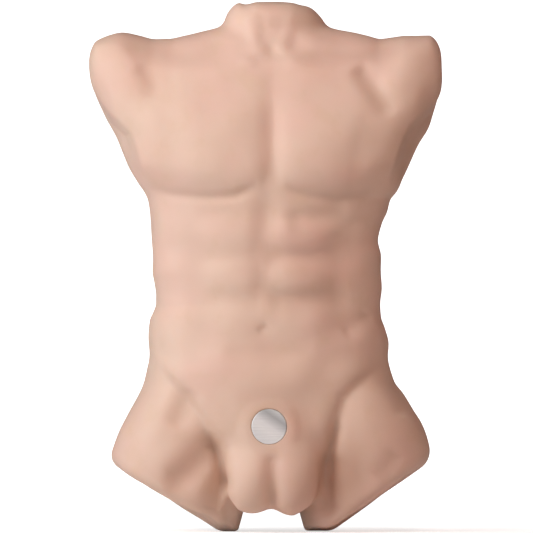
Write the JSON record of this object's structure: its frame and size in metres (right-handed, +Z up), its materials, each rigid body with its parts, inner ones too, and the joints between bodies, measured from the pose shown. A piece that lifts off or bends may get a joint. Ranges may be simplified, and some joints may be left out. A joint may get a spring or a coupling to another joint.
{
  "type": "training torso",
  "caption": "Life-size headless male torso with soft elastomer skin, foam core and tube frame, standing on its thigh stumps, with a round steel-faced plug in a groin socket.",
  "frame": {"origin": "centre of the bounding box at the ground plane, between the two thigh stumps", "axes": "+Z up to the neck stump, -Y out of the chest, +X to the viewer's right seen from the front"},
  "size_m": [0.465, 0.24, 0.7],
  "materials": {
    "skin": "satin",
    "foam": "matte",
    "tube": "satin zinc",
    "fitting": "as cast",
    "black_screw": "black oxide",
    "cap": "matte",
    "sleeve": "semi-gloss",
    "bracket": "satin zinc",
    "zinc": "bright zinc",
    "steel_face": "brushed",
    "plug": "matte",
    "seal": "matte"
  },
  "bodies": {
    "torso": {"torso_skin": "skin", "foam_core_front": "foam", "foam_core_rear": "foam", "spine_tube": "tube", "neck_tube": "tube", "shoulder_bar": "tube", "pelvis_bar": "tube", "thigh_tube_left": "tube", "thigh_tube_right": "tube", "shoulder_cross": "fitting", "pelvis_tee": "fitting", "hip_elbow_left": "fitting", "hip_elbow_right": "fitting", "shoulder_set_screws": "black_screw", "pelvis_set_screws": "black_screw", "hip_set_screws": "black_screw", "neck_cap": "cap", "shoulder_cap_left": "cap", "shoulder_cap_right": "cap", "thigh_cap_left": "cap", "thigh_cap_right": "cap", "socket_sleeve": "sleeve", "socket_bracket": "bracket", "bracket_bolts": "zinc", "bracket_nuts": "zinc"},
    "plug": {"plug_face": "steel_face", "plug_body": "plug", "plug_seals": "seal", "plug_washer": "zinc", "plug_nut": "zinc"}
  },
  "joints": [
    {"name": "plug_pull", "type": "slide", "parent": "torso", "child": "plug", "axis": [0, -1, 0], "range_m": [0, 0.065]}
  ]
}
